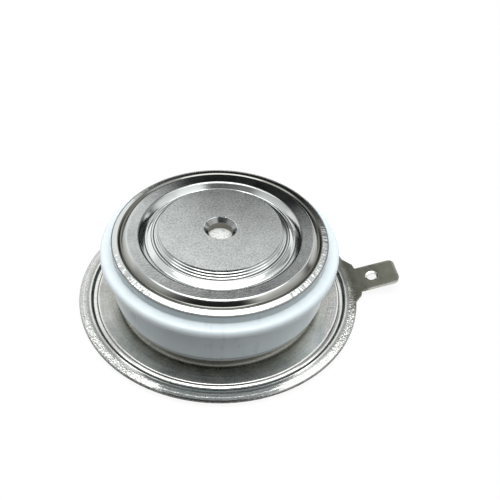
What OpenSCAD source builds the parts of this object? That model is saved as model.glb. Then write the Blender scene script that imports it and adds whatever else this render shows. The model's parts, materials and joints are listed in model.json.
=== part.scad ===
// Disc thyristor in a ribbed ceramic case. Two copper poles carry the current, thin sheets seal them to
// the ceramic, and a silicon wafer with a centre gate is clamped between them.
// Millimetres, +Z towards the anode. The origin is the centre of the cathode contact face, and the blade
// tab points along +X.

/* [Case] */
// Height between the two contact faces
case_h = 14; // [11.6:0.1:18]
// Diameter of the contact faces
contact_d = 17.74; // [14.8:0.02:22]
// Height of the silicon stack's middle above the middle of the case
stack_rise = 0.6; // [0.5:0.05:0.8]

/* [Contact poles] */
// Number of turned steps on the side of a pole
step_n = 3; // [2:1:4]
// Width of one turned step
step_w = 0.227; // [0.15:0.001:0.3]
// Height of one turned step
step_h = 0.33; // [0.2:0.01:0.4]
// Width of the shoulder that a sheet is brazed on
shoulder_w = 0.65; // [0.6:0.01:0.7]
// Diameter of a centring hole
pilot_d = 3.6; // [2:0.1:4.4]
// Width of the bevel at a centring hole's mouth
pilot_bevel = 0.63; // [0.2:0.01:0.8]
// Depth of a centring hole
pilot_depth = 1.7; // [1.4:0.1:2.1]

/* [Diaphragm and lid] */
// Thickness of the anode diaphragm
diaphragm_t = 0.35; // [0.25:0.01:0.42]
// Thickness of the cathode lid
lid_t = 0.4; // [0.3:0.01:0.48]
// Distance from the pole to the bottom of the corrugation's groove
groove_w = 1.2; // [1.1:0.01:1.5]
// Depth of the groove below the brazed hub
groove_depth = 0.8; // [0.6:0.01:0.96]
// Width of the groove's outer wall
groove_wall_w = 0.9; // [0.8:0.01:1.2]
// Depth of the raised ring below the anode contact face
raised_drop = 0.93; // [0.78:0.01:1.12]
// Width of the raised ring
raised_w = 1.9; // [1.6:0.01:2.3]
// Width of the fall from the raised ring to the valley outside it
fall_w = 0.7; // [0.6:0.01:0.84]
// Depth of that valley below the anode contact face
valley_drop = 1.72; // [1.6:0.01:1.9]
// Width of the valley's outer wall
lip_w = 0.45; // [0.42:0.01:0.54]
// Depth of the rim's inner edge below the anode contact face
rim_drop = 1.48; // [1.4:0.01:1.55]
// Width of the diaphragm's rim
rim_w = 0.94; // [0.8:0.01:1.12]
// Drop of the rim from its inner to its outer edge
rim_fall = 0.32; // [0.2:0.01:0.4]

/* [Ceramic ring] */
// Inset of the ceramic's neck from the diaphragm's rim
neck_inset = 0.05; // [0:0.01:0.2]
// Height of that neck
neck_h = 1.05; // [0.85:0.01:1.25]
// Reach of the barrel beyond the neck
barrel_out = 0.16; // [0:0.01:0.3]
// Reach of the rib beyond the barrel
rib_out = 1.6; // [1.3:0.05:2]
// Height of the rib
rib_h = 1.6; // [1.3:0.05:1.9]
// Wall of the barrel
ceramic_wall = 2.75; // [2.3:0.05:3.3]

/* [Flange] */
// Thickness of the flange sheet and its tab
flange_t = 0.45; // [0.37:0.01:0.54]
// Height of the flange's flat top above the cathode contact face
flange_z = 1.2; // [1.1:0.01:1.45]
// Inset of the sleeve from the ceramic's barrel
sleeve_inset = 1.15; // [0.9:0.05:1.4]
// Width of the flange outside the sleeve
flange_w = 6.4; // [5.3:0.1:10]
// Inset of the lid from the flange's edge
lid_inset = 0.5; // [0.4:0.01:0.7]
// Distance from the flange's edge to the inner side of the pressed seam
seam_in = 2.85; // [2.82:0.01:3.4]
// Distance from the flange's edge to the foot of the seam's steep inner wall
seam_wall = 2.68; // [2.5:0.01:2.7]
// Depth of that foot
seam_depth = 0.2; // [0.15:0.01:0.24]
// Distance from the flange's edge to the bottom of the seam's groove
seam_groove = 2.15; // [2:0.01:2.3]
// Depth of that bottom
seam_floor = 0.27; // [0.24:0.01:0.32]
// Distance from the flange's edge to the seam's crest
seam_crest = 1.72; // [1.5:0.01:1.85]
// Height of the crest above the flange's flat top
seam_rise = 0.02; // [0:0.01:0.1]
// Distance from the flange's edge to the outer side of the seam
seam_out = 1.1; // [0.83:0.01:1.3]
// Drop from the flange's flat top to its outer rim
seam_drop = 0.06; // [0:0.01:0.1]
// Bevel on the flange's top edge
flange_bevel = 0.15; // [0.05:0.01:0.2]

/* [Blade tab] */
// Width of the blade
blade_w = 4.75; // [3.95:0.05:5.7]
// Reach of the blade beyond the flange's edge
blade_reach = 6.85; // [5.7:0.05:9]
// Width of each shoulder beside the blade
shoulder_out = 0.875; // [0.7:0.005:1.1]
// Width of each flare from a shoulder to the flange
flare_out = 1.25; // [1:0.05:1.5]
// Upward bend of the blade in degrees
blade_bend = 13.5; // [1:0.5:30]
// Radius of the blade's tip corners
blade_corner = 0.9; // [0.2:0.05:1.5]
// Diameter of the locking hole
blade_hole_d = 1.5; // [1:0.05:1.8]
// Width of the bevel at the locking hole's mouth
blade_hole_bevel = 0.25; // [0.1:0.01:0.3]
// Distance of the locking hole from the tip
blade_hole_in = 3.85; // [3.2:0.05:4.6]

/* [Silicon stack] */
// Thickness of the silicon wafer
wafer_t = 0.4; // [0.3:0.01:0.5]
// Thickness of the anode's molybdenum disc
anode_disc_t = 1.8; // [1.5:0.05:2.2]
// Thickness of the cathode's molybdenum disc
cathode_disc_t = 0.8; // [0.66:0.01:1]
// Inset of the wafer from the edge of the anode's disc
wafer_inset = 0.4; // [0.35:0.01:0.5]
// Inset of the cathode's disc from the edge of its pole
cathode_disc_inset = 0.6; // [0.4:0.05:0.8]
// Wall of the insulating liner round the stack
liner_t = 0.8; // [0.66:0.01:1]

/* [Gate] */
// Angle from the blade tab to the gate terminal in degrees
gate_angle = 28; // [20:1:340]
// Diameter of the gate terminal
gate_d = 1.5; // [1.2:0.05:1.8]
// Reach of the gate terminal beyond the ceramic's barrel
gate_out = 3.85; // [3:0.05:8]
// Height of the gate terminal above the ceramic's lower edge
gate_above_edge = 1.65; // [1.6:0.05:2]
// Depth of the gate lead below the cathode pole's inner face
gate_lead_drop = 0.75; // [0.7:0.01:0.9]
// Diameter of the gate lead's wire
lead_d = 0.5; // [0.3:0.05:0.6]
// Diameter of the gate contact pin
pin_d = 1.2; // [1:0.05:1.45]
// Diameter of the well in the cathode pole
well_d = 4.8; // [4:0.1:5.8]
// Depth of that well
well_depth = 2.8; // [2.6:0.05:3.2]
// Number of turns in the gate spring
spring_turns = 3; // [2:1:4]

/* [Hidden] */
$fn = 96;

// Steps in a rounded corner of a profile
arc_steps = 8;
// Gap that stands for a brazed or welded joint
joint_gap = 0.03;
// Clearance round a piece that is only placed
fit_gap = 0.05;
// Length by which a cut runs past a face
over = 1;
// Bevel on the edges of turned pieces
turned_bevel = 0.06;
// Bevel on the inner edges of the poles and the ceramic
inner_bevel = 0.25;
// Bevel on the edges of the molybdenum discs
disc_bevel = 0.125;

// Heights of the stack between the poles
stack_h = cathode_disc_t + wafer_t + anode_disc_t;
cathode_pole_h = (case_h - stack_h) / 2 + stack_rise;
anode_pole_h = (case_h - stack_h) / 2 - stack_rise;
wafer_z = cathode_pole_h + cathode_disc_t;
anode_disc_z = wafer_z + wafer_t;

// Radii of a pole, and the depth at which its sheet is brazed on
contact_r = contact_d / 2;
pole_seat_r = contact_r + step_n * step_w;
pole_body_r = pole_seat_r + shoulder_w;
pilot_r = pilot_d / 2;
shoulder_flat = 0.2;
shoulder_bevel = shoulder_w - shoulder_flat;
hub_drop = step_n * step_h + turned_bevel;

// Radii of the sheets, from the pole outwards
hub_r = pole_seat_r + joint_gap;
hub_flat_w = 0.36;
hub_bend_r = hub_r + hub_flat_w;
groove_r = pole_seat_r + groove_w;
raised_in_r = groove_r + groove_wall_w;
raised_out_r = raised_in_r + raised_w;
valley_r = raised_out_r + fall_w;
rim_in_r = valley_r + lip_w;
rim_r = rim_in_r + rim_w;
rim_slope = rim_fall / rim_w;

// Bend radii of the sheets
inside_bend = 0.1;
sheet_bend = max(diaphragm_t, lid_t) + inside_bend;
valley_bend = 0.25;
seam_edge_bend = 0.3;
seam_bend = 0.1;
sleeve_bend = 0.5;

// Radii and heights of the ceramic
neck_r = rim_r - neck_inset;
barrel_r = neck_r + barrel_out;
rib_r = barrel_r + rib_out;
bore_r = barrel_r - ceramic_wall;
gate_z = cathode_pole_h - gate_lead_drop;
ceramic_low_z = gate_z - gate_above_edge;
rim_under_z = case_h - rim_drop - diaphragm_t * norm([1, rim_slope]);
ceramic_neck_z = rim_under_z - (neck_r - rim_in_r) * rim_slope - joint_gap;
rib_top_z = ceramic_neck_z - neck_h;
rib_low_z = rib_top_z - rib_h;
rib_flat = 0.2;
rib_round = (rib_h - rib_flat) / 2;
rib_foot_round = 0.4;
neck_round = 0.2;

// The ceramic's end that the rim is brazed on, cut back inside to clear the valley
seat_inset = 0.3;
relief_w = 0.25;
relief_gap = 0.13;
seat_r = rim_in_r + seat_inset;
seat_z = rim_under_z - seat_inset * rim_slope - joint_gap;
relief_z = case_h - valley_drop - diaphragm_t - relief_gap;

// Radii and heights of the flange and the lid under it
sleeve_r = barrel_r - sleeve_inset;
flange_r = sleeve_r + flange_w;
lid_r = flange_r - lid_inset;
rim_z = flange_z - seam_drop;
seam_start_r = (sleeve_r + sleeve_bend + flange_r - seam_in) / 2;
lid_flat_z = flange_z - flange_t - joint_gap - lid_t;

// Places along the blade tab
blade_bend_r = 1;
shoulder_round = 0.3;
notch_round = 0.1;
notch_w = 0.15;
shoulder_reach = 0.7;
bend_reach = 0.4;
blade_mouth_h = 0.11;
shoulder_x = flange_r + shoulder_reach;
shoulder_half = blade_w / 2 + shoulder_out;
root_half = shoulder_half + flare_out;
root_x = sqrt(flange_r * flange_r - root_half * root_half);
blade_bend_x = shoulder_x + bend_reach;
blade_tip_x = flange_r + blade_reach;
blade_hole_x = blade_tip_x - blade_hole_in;

// Radii of the stack inside the ceramic
liner_r = bore_r - 2 * fit_gap;
anode_disc_r = liner_r - liner_t - 2 * fit_gap;
wafer_r = anode_disc_r - wafer_inset;
cathode_disc_r = pole_body_r - cathode_disc_inset;
seal_w = 1;
seal_t = 0.3;

// Walls and clearances of the gate contact in the cathode pole
cup_wall = 0.85;
cup_floor = 0.5;
lead_sleeve_wall = 0.25;
spring_wire_r = 0.15;
spring_play = 0.3;
guide_play = 0.15;
guide_lift = 0.3;
pin_play = 0.4;
collar_h = 0.35;

// Steps of the gate terminal and its eyelet
shank_step = 0.2;
gate_seat_depth = 0.4;
eyelet_flange_w = 0.7;
eyelet_wall = 0.4;
eyelet_base = 0.35;
eyelet_h = 0.7;

// The gate, from the well in the cathode pole out to the terminal
gate_r = gate_d / 2;
shank_r = gate_r - shank_step;
lead_r = lead_d / 2;
lead_sleeve_r = lead_r + lead_sleeve_wall;
slot_w = 2 * lead_sleeve_r + 4 * fit_gap;
well_z = cathode_pole_h - well_depth;
cup_r = well_d / 2 - fit_gap;
cup_bore_r = cup_r - cup_wall;
spring_z = well_z + cup_floor;
spring_r = cup_bore_r - spring_wire_r - spring_play;
collar_z = gate_z - slot_w / 2 - fit_gap - collar_h / 2;
gate_seat_r = barrel_r - gate_seat_depth;
eyelet_r = shank_r + eyelet_flange_w;
eyelet_neck_r = shank_r + eyelet_wall;
terminal_r = gate_seat_r + joint_gap + eyelet_h + joint_gap;
terminal_tip_r = barrel_r + gate_out;

function xy(p) = [p.x, p.y];
function unit(v) = v / norm(v);
function left_of(v) = [-v.y, v.x];
function turned(v, a) = [v.x * cos(a) - v.y * sin(a), v.x * sin(a) + v.y * cos(a)];
function reversed(list) = [for (i = [len(list) - 1:-1:0]) list[i]];

// The arc that rounds corner b, between a and c, with radius r
function rounded_corner(a, b, c, r) =
    let (
        u = unit(a - b),
        v = unit(c - b),
        half = acos(u * v) / 2,
        centre = b + unit(u + v) * r / sin(half),
        from = b + u * r / tan(half) - centre,
        sweep = (2 * half - 180) * sign(cross(u, v))
    )
    [for (i = [0:arc_steps]) centre + turned(from, sweep * i / arc_steps)];

// Points are [x, y, radius]; a radius of 0 keeps the corner sharp
function corner(a, b, c) = b.z == 0 ? [xy(b)] : rounded_corner(xy(a), xy(b), xy(c), b.z);

// An open line with rounded corners
function rounded_path(p) = [
    for (i = [0:len(p) - 1])
        each i == 0 || i == len(p) - 1 ? [xy(p[i])] : corner(p[i - 1], p[i], p[i + 1])
];

// A closed outline with rounded corners
function rounded_outline(p) =
    let (n = len(p))
    [for (i = [0:n - 1]) each corner(p[(i + n - 1) % n], p[i], p[(i + 1) % n])];

// The line that runs parallel to a path, at a distance to its left
function parallel(path, gap) = [
    for (i = [0:len(path) - 1])
        let (
            before = left_of(unit(path[max(i, 1)] - path[max(i, 1) - 1])),
            last = min(i, len(path) - 2),
            after = left_of(unit(path[last + 1] - path[last])),
            middle = unit(before + after)
        )
        path[i] + middle * gap / (middle * before)
];

// The section of a sheet that lies to the left of a path
function sheet_outline(path, t) = concat(path, reversed(parallel(path, t)));

// The corrugation that a sheet has round its pole, as radius and depth below the contact face
function corrugation(ring_drop) = [
    [hub_r, hub_drop, 0],
    [hub_bend_r, hub_drop, sheet_bend],
    [groove_r, hub_drop + groove_depth, valley_bend],
    [raised_in_r, ring_drop, sheet_bend]
];

// The seam that is pressed into the flange's top, from its flat to its rim
function seam_path(end_r) = rounded_path([
    [seam_start_r, flange_z, 0],
    [flange_r - seam_in, flange_z, seam_edge_bend],
    [flange_r - seam_wall, flange_z - seam_depth, seam_bend],
    [flange_r - seam_groove, flange_z - seam_floor, seam_bend],
    [flange_r - seam_crest, flange_z + seam_rise, seam_bend],
    [flange_r - seam_out, rim_z, valley_bend],
    [end_r, rim_z, 0]
]);

// The plain step from the flange's flat to its rim, which the sheets follow underneath
function step_path(end_r) = rounded_path([
    [seam_start_r, flange_z, 0],
    [flange_r - seam_crest, flange_z, flange_t + joint_gap + lid_t + valley_bend],
    [flange_r - seam_out, rim_z, valley_bend],
    [end_r, rim_z, 0]
]);

// A path without its first point, to follow another path that ends there
function onward(path) = [for (i = [1:len(path) - 1]) path[i]];

// The stepped half section of a pole, from its contact face at depth 0 to its inner face
function pole_section(height, sheet_t) =
    let (seat = hub_drop + sheet_t + joint_gap)
    concat(
        [[0, pilot_depth], [pilot_r, pilot_depth], [pilot_r, pilot_bevel], [pilot_r + pilot_bevel, 0]],
        [
            for (i = [0:step_n], p = [[-turned_bevel, 0], [0, turned_bevel], [0, step_h]])
                if (i < step_n || p.y < step_h)
                    [contact_r + i * step_w + p.x, i * step_h + p.y]
        ],
        [
            [pole_seat_r, seat],
            [pole_body_r - shoulder_bevel, seat],
            [pole_body_r, seat + shoulder_bevel],
            [pole_body_r, height - inner_bevel],
            [pole_body_r - inner_bevel, height],
            [0, height]
        ]
    );

// Everything on the gate's radial line is drawn along +X and then turned into place
module along_gate() {
    rotate([0, 0, gate_angle])
        translate([0, 0, gate_z])
            children();
}

// A rod or tube along X, from one distance to another
module radial_rod(r, from, to) {
    translate([from, 0, 0])
        rotate([0, 90, 0])
            cylinder(r = r, h = to - from);
}

// The anode pole, turned from copper and nickel plated
module anode_pole() {
    color("gainsboro")
        translate([0, 0, case_h])
            mirror([0, 0, 1])
                rotate_extrude()
                    polygon(pole_section(anode_pole_h, diaphragm_t));
}

// The corrugated sheet that seals the anode pole to the ceramic
module anode_diaphragm() {
    path = rounded_path(concat(
        corrugation(raised_drop),
        [
            [raised_out_r, raised_drop, sheet_bend],
            [valley_r, valley_drop, valley_bend],
            [rim_in_r, rim_drop, sheet_bend],
            [rim_r, rim_drop + rim_fall, 0]
        ]
    ));
    color("silver")
        translate([0, 0, case_h])
            mirror([0, 0, 1])
                rotate_extrude()
                    polygon(sheet_outline(path, diaphragm_t));
}

// The glazed ceramic ring with its rib, and the seat for the gate terminal
module ceramic_ring() {
    section = rounded_outline([
        [bore_r, ceramic_low_z, inner_bevel],
        [barrel_r, ceramic_low_z, inner_bevel],
        [barrel_r, rib_low_z, rib_foot_round],
        [rib_r, rib_low_z, rib_round],
        [rib_r, rib_top_z, rib_round],
        [neck_r, rib_top_z, neck_round],
        [neck_r, ceramic_neck_z, 0],
        [seat_r, seat_z, 0],
        [seat_r - relief_w, relief_z, 0],
        [bore_r, relief_z, inner_bevel]
    ]);
    color("whitesmoke")
        difference() {
            rotate_extrude()
                polygon(section);
            along_gate() {
                radial_rod(shank_r + joint_gap, bore_r - over, barrel_r + over);
                radial_rod(eyelet_r + joint_gap, gate_seat_r, barrel_r + over);
            }
        }
}

// The blade tab: a strip that bends up from the rim, cut to its outline and drilled square to the blade
module blade_tab() {
    strip = rounded_path([
        [flange_r - seam_out, rim_z, 0],
        [blade_bend_x, rim_z, blade_bend_r],
        [blade_tip_x + over, rim_z + (blade_tip_x + over - blade_bend_x) * tan(blade_bend), 0]
    ]);
    half = [
        [root_x, root_half, 0],
        [shoulder_x, shoulder_half, shoulder_round],
        [shoulder_x + notch_w, blade_w / 2, notch_round],
        [blade_tip_x, blade_w / 2, blade_corner]
    ];
    plan = concat(
        [[flange_r - seam_out, -root_half, 0]],
        [for (p = half) [p.x, -p.y, p.z]],
        reversed(half),
        [[flange_r - seam_out, root_half, 0]]
    );
    difference() {
        intersection() {
            rotate([90, 0, 0])
                linear_extrude(2 * root_half, center = true)
                    polygon(sheet_outline(strip, -flange_t));
            linear_extrude(case_h)
                polygon(rounded_outline(plan));
        }
        translate([blade_hole_x, 0, rim_z + (blade_hole_x - blade_bend_x) * tan(blade_bend)])
            rotate([0, -blade_bend, 0]) {
                translate([0, 0, -flange_t - over])
                    cylinder(d = blade_hole_d, h = flange_t + 2 * over);
                translate([0, 0, -blade_mouth_h])
                    cylinder(d1 = blade_hole_d, d2 = blade_hole_d + 2 * blade_hole_bevel, h = blade_mouth_h);
            }
    }
}

// The sleeve under the ceramic, turned out to the flange that carries the blade tab
module housing_flange() {
    sleeve = rounded_path([
        [sleeve_r, ceramic_low_z - joint_gap, 0],
        [sleeve_r, flange_z, sleeve_bend],
        [seam_start_r, flange_z, 0]
    ]);
    top = concat(sleeve, onward(seam_path(flange_r - flange_bevel)));
    edge = [[flange_r, rim_z - flange_bevel]];
    under = parallel(concat(sleeve, onward(step_path(flange_r))), -flange_t);
    color("silver")
        union() {
            rotate_extrude()
                polygon(concat(top, edge, reversed(under)));
            blade_tab();
        }
}

// The corrugated lid under the flange, which seals the cathode pole
module cathode_lid() {
    hub = rounded_path(concat(corrugation(lid_flat_z), [[seam_start_r, lid_flat_z, 0]]));
    step = parallel(step_path(lid_r), -flange_t - joint_gap - lid_t);
    path = concat(hub, onward(step));
    color("silver")
        rotate_extrude()
            polygon(sheet_outline(path, lid_t));
}

// The cathode pole, with a well for the gate contact and a slot for its lead
module cathode_pole() {
    color("gainsboro")
        difference() {
            rotate_extrude()
                polygon(pole_section(cathode_pole_h, lid_t));
            translate([0, 0, well_z])
                cylinder(d = well_d, h = well_depth + over);
            along_gate()
                translate([0, -slot_w / 2, -slot_w / 2])
                    cube([pole_body_r + over, slot_w, cathode_pole_h]);
        }
}

// The silicon wafer, with its edge ground to a bevel
module silicon_wafer() {
    color("dimgray")
        translate([0, 0, wafer_z])
            cylinder(r1 = wafer_r - wafer_t, r2 = wafer_r, h = wafer_t);
}

// A molybdenum disc with bevelled edges
module disc(r, t) {
    rotate_extrude()
        polygon([
            [0, 0],
            [r - disc_bevel, 0],
            [r, disc_bevel],
            [r, t - disc_bevel],
            [r - disc_bevel, t],
            [0, t]
        ]);
}

// The molybdenum disc that the wafer is alloyed to
module anode_disc() {
    color("slategray")
        translate([0, 0, anode_disc_z])
            disc(anode_disc_r, anode_disc_t);
}

// The molybdenum disc on the cathode side, open at its centre for the gate pin
module cathode_disc() {
    color("slategray")
        translate([0, 0, cathode_pole_h])
            difference() {
                disc(cathode_disc_r, cathode_disc_t);
                translate([0, 0, -over])
                    cylinder(d = pin_d + 2 * pin_play, h = cathode_disc_t + 2 * over);
            }
}

// The silicone bead that covers the wafer's bevelled edge
module edge_seal() {
    outer_r = anode_disc_r - disc_bevel;
    inner_r = wafer_r - seal_w;
    low_z = wafer_z - seal_t;
    color("firebrick")
        rotate_extrude()
            polygon([
                [wafer_r + joint_gap, anode_disc_z],
                [outer_r, anode_disc_z],
                [outer_r, wafer_z],
                [wafer_r - wafer_t, low_z],
                [inner_r, low_z],
                [inner_r, wafer_z - joint_gap],
                [wafer_r - wafer_t + joint_gap, wafer_z - joint_gap]
            ]);
}

// The liner that stands on the lid, centres the stack and keeps it from arcing to the ceramic
module insulating_liner() {
    low_z = lid_flat_z + lid_t;
    color("ivory")
        difference() {
            translate([0, 0, low_z])
                difference() {
                    cylinder(r = liner_r, h = anode_disc_z + anode_disc_t - inner_bevel - low_z);
                    translate([0, 0, -over])
                        cylinder(r = liner_r - liner_t, h = case_h);
                }
            along_gate()
                radial_rod(lead_sleeve_r + 2 * fit_gap, liner_r - liner_t - over, liner_r + over);
        }
}

// The insulating cup in the cathode pole's well
module gate_insulator() {
    color("ivory")
        difference() {
            translate([0, 0, well_z])
                cylinder(r = cup_r, h = well_depth - 4 * fit_gap);
            translate([0, 0, spring_z])
                cylinder(r = cup_bore_r, h = well_depth);
            along_gate()
                translate([0, -slot_w / 2, -slot_w / 2])
                    cube([cup_r + over, slot_w, well_depth]);
        }
}

// The spring that presses the gate pin against the wafer
module gate_spring() {
    sides = 8;
    rings_a_turn = 18;
    rings = spring_turns * rings_a_turn;
    climb = collar_z - spring_z - 2 * spring_wire_r;
    points = [
        for (k = [0:rings], s = [0:sides - 1])
            let (
                around = 360 * k / rings_a_turn,
                r = spring_r + spring_wire_r * cos(360 * s / sides),
                z = spring_z + spring_wire_r + climb * k / rings + spring_wire_r * sin(360 * s / sides)
            )
            [r * cos(around), r * sin(around), z]
    ];
    walls = [
        for (k = [0:rings - 1], s = [0:sides - 1])
            let (next = (s + 1) % sides, a = k * sides, b = a + sides)
            [a + s, a + next, b + next, b + s]
    ];
    first = [for (s = [sides - 1:-1:0]) s];
    last = [for (s = [0:sides - 1]) rings * sides + s];
    color("goldenrod")
        polyhedron(points, concat(walls, [first, last]));
}

// The gate pin: a guide inside the spring, a collar on it and a shaft up to the wafer
module gate_pin() {
    pin_r = pin_d / 2;
    guide_r = spring_r - spring_wire_r - guide_play;
    color("goldenrod")
        difference() {
            rotate_extrude()
                polygon([
                    [0, spring_z + guide_lift],
                    [guide_r, spring_z + guide_lift],
                    [guide_r, collar_z],
                    [cup_bore_r - 2 * fit_gap, collar_z],
                    [cup_bore_r - 2 * fit_gap, collar_z + collar_h],
                    [pin_r, collar_z + collar_h],
                    [pin_r, wafer_z - turned_bevel],
                    [pin_r - turned_bevel, wafer_z],
                    [0, wafer_z]
                ]);
            along_gate()
                radial_rod(lead_r + joint_gap, 0, pin_r + over);
        }
}

// The wire from the gate pin to the gate terminal
module gate_lead() {
    color("gold")
        along_gate()
            radial_rod(lead_r, joint_gap, barrel_r);
}

// The insulating sleeve on that wire
module lead_sleeve() {
    color("white")
        along_gate()
            difference() {
                radial_rod(lead_sleeve_r, cup_bore_r + 2 * fit_gap, bore_r - fit_gap);
                radial_rod(lead_r + joint_gap, 0, bore_r + over);
            }
}

// The gate terminal: a hollow shank through the ceramic wall, and a solid free end
module gate_terminal() {
    tip = gate_r / 2;
    color("silver")
        along_gate()
            rotate([0, 90, 0])
                rotate_extrude()
                    polygon([
                        [lead_r + joint_gap, bore_r],
                        [shank_r, bore_r],
                        [shank_r, terminal_r],
                        [gate_r, terminal_r],
                        [gate_r, terminal_tip_r - tip],
                        [gate_r - tip, terminal_tip_r],
                        [0, terminal_tip_r],
                        [0, barrel_r + joint_gap],
                        [lead_r + joint_gap, barrel_r + joint_gap]
                    ]);
}

// The brazed eyelet that seals the terminal to the ceramic
module gate_eyelet() {
    color("silver")
        along_gate()
            translate([gate_seat_r + joint_gap, 0, 0])
                rotate([0, 90, 0])
                    rotate_extrude()
                        polygon([
                            [shank_r + joint_gap, 0],
                            [eyelet_r, 0],
                            [eyelet_r, eyelet_base],
                            [eyelet_neck_r, eyelet_base],
                            [eyelet_neck_r, eyelet_h],
                            [shank_r + joint_gap, eyelet_h]
                        ]);
}

anode_pole();
anode_diaphragm();
ceramic_ring();
housing_flange();
cathode_lid();
cathode_pole();
silicon_wafer();
anode_disc();
cathode_disc();
edge_seal();
insulating_liner();
gate_insulator();
gate_spring();
gate_pin();
gate_lead();
lead_sleeve();
gate_terminal();
gate_eyelet();
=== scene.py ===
# %% [markdown]
# # A disc thyristor
# A flat power semiconductor: two plated contact poles, thin corrugated sheets round them, a white ceramic
# ring with one rib, and a sheet metal flange that carries a blade tab. The solids come from the CAD frame.
# This lesson gives them their finishes, adds the brazed seams, and sets up the light and the camera.

# %% Load the frame
import json
from math import atan2, cos, hypot, pi, radians, sin

import bpy
from mathutils import Matrix, Vector


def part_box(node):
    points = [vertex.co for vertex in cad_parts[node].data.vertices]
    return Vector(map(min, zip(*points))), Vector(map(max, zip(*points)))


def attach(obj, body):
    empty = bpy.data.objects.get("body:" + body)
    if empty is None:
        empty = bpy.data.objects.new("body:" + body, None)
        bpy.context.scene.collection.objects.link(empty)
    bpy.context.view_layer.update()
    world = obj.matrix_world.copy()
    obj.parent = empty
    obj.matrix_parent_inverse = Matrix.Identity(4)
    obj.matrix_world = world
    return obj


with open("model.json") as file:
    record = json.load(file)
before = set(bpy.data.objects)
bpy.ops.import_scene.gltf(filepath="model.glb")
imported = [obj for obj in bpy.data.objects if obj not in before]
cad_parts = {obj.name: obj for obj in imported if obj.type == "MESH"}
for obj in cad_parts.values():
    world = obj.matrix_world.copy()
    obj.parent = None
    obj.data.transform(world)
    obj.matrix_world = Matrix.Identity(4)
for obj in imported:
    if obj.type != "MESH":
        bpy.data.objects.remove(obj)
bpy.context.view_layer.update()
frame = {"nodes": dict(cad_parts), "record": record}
nodes = frame["nodes"]
MM = 0.001

# %% [markdown]
# ## Measuring the frame
# Finishes change from ring to ring, so the lesson needs the radius and the height of each edge. They could
# be typed in from a drawing. Most are read from the nodes' own points instead, in millimetres, so that they
# follow the solids, and a few bends between them are placed later by their distance from such an edge.

# %% Measure the poles
def profile(name):
    """The radius and height of every point of a node, in millimetres."""
    return [(hypot(v.co.x, v.co.y) / MM, v.co.z / MM) for v in nodes[name].data.vertices]


def radii_at(name, height, slack=0.02):
    """The smallest and the largest radius of a node at a height."""
    found = [r for r, z in profile(name) if abs(z - height) < slack]
    return min(found), max(found)


NEAR_TOP = 3

case_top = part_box("anode_pole")[1].z / MM
case_mid = case_top / 2
mouth_r, face_r = radii_at("anode_pole", case_top)
hole_z = min(z for r, z in profile("anode_pole") if r < mouth_r - 0.1 and z > case_top - NEAR_TOP)
hole_r = radii_at("anode_pole", hole_z)[1]
hole_depth = case_top - hole_z
print("pole face", round(face_r, 2), "hole", round(mouth_r, 2), round(hole_r, 2), round(hole_depth, 2))

# %% Measure the sheets
hub_r = min(r for r, z in profile("anode_diaphragm"))
ring_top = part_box("anode_diaphragm")[1].z / MM
ring_in_r, ring_out_r = radii_at("anode_diaphragm", ring_top)
cap_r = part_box("anode_diaphragm")[1].y / MM
print("hub", round(hub_r, 2), "cap", round(cap_r, 2))
print("raised ring", round(ring_in_r, 2), round(ring_out_r, 2))

ceramic_low_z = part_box("ceramic_ring")[0].z / MM
flange_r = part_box("housing_flange")[1].y / MM
tab_tip_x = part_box("housing_flange")[1].x / MM
sleeve_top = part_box("housing_flange")[1].z / MM
sleeve_r = radii_at("housing_flange", sleeve_top)[1]
print("flange", round(flange_r, 2), "sleeve", round(sleeve_r, 2), round(sleeve_top, 2))

# %% [markdown]
# ## The camera
# The viewpoint could be set by eye. Here it was worked out from the ellipses of the rings, which fix how far
# round, how high and how far away the eye is, and where the middle of the pole lands in a picture of 500 by
# 500 pixels.

# %% Place the camera
PICTURE_PX = 500
FOCAL_PX = 904
POLE_PX = Vector((220.6, 227.6))
EYE_DISTANCE = 129.2 * MM
EYE_ELEVATION = radians(41.3)
EYE_ROLL = radians(1.53)
TAB_TURN = radians(8.9)

turn = Matrix.Rotation(-TAB_TURN, 3, "Z")
side = turn @ Vector((1, 0, 0))
above = turn @ Vector((0, sin(EYE_ELEVATION), cos(EYE_ELEVATION)))
ahead = turn @ Vector((0, cos(EYE_ELEVATION), -sin(EYE_ELEVATION)))
rolled = Matrix.Rotation(EYE_ROLL, 3, -ahead)
axes = Matrix((rolled @ side, rolled @ above, ahead))

middle = Vector((PICTURE_PX / 2, PICTURE_PX / 2))
aim = Vector((POLE_PX.x - middle.x, middle.y - POLE_PX.y, FOCAL_PX)).normalized()
swing = Vector((0, 0, 1)).rotation_difference(aim).to_matrix()
right, up, forward = swing @ axes

camera = bpy.data.objects.new("camera", bpy.data.cameras.new("camera"))
bpy.context.scene.collection.objects.link(camera)
camera.data.sensor_width = 36
camera.data.lens = FOCAL_PX / PICTURE_PX * camera.data.sensor_width
camera.data.clip_start = 1 * MM
place = Vector((0, 0, case_top * MM)) - ahead * EYE_DISTANCE
camera.matrix_world = Matrix.Translation(place) @ Matrix((right, up, -forward)).transposed().to_4x4()
bpy.context.scene.camera = camera
print("camera at", [round(c / MM, 1) for c in place], "lens", round(camera.data.lens, 1))

# %% [markdown]
# ## Node helpers
# Every finish is a small node tree. One helper adds a node, sets it and links its inputs, so that each tree
# reads as a list of what it is made of. Sizes inside the trees are in millimetres, like the measures above.

# %% Helpers for node trees
def add(tree, kind, inputs=None, **settings):
    """Adds a shader node, with its settings, and fills or links its inputs."""
    made = tree.nodes.new("ShaderNode" + kind)
    for name, value in settings.items():
        setattr(made, name, value)
    for name, value in (inputs or {}).items():
        if isinstance(value, bpy.types.NodeSocket):
            tree.links.new(value, made.inputs[name])
        else:
            made.inputs[name].default_value = value
    return made


def math(tree, operation, *values):
    """One Math node, and its result."""
    return add(tree, "Math", dict(enumerate(values)), operation=operation).outputs[0]


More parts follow.
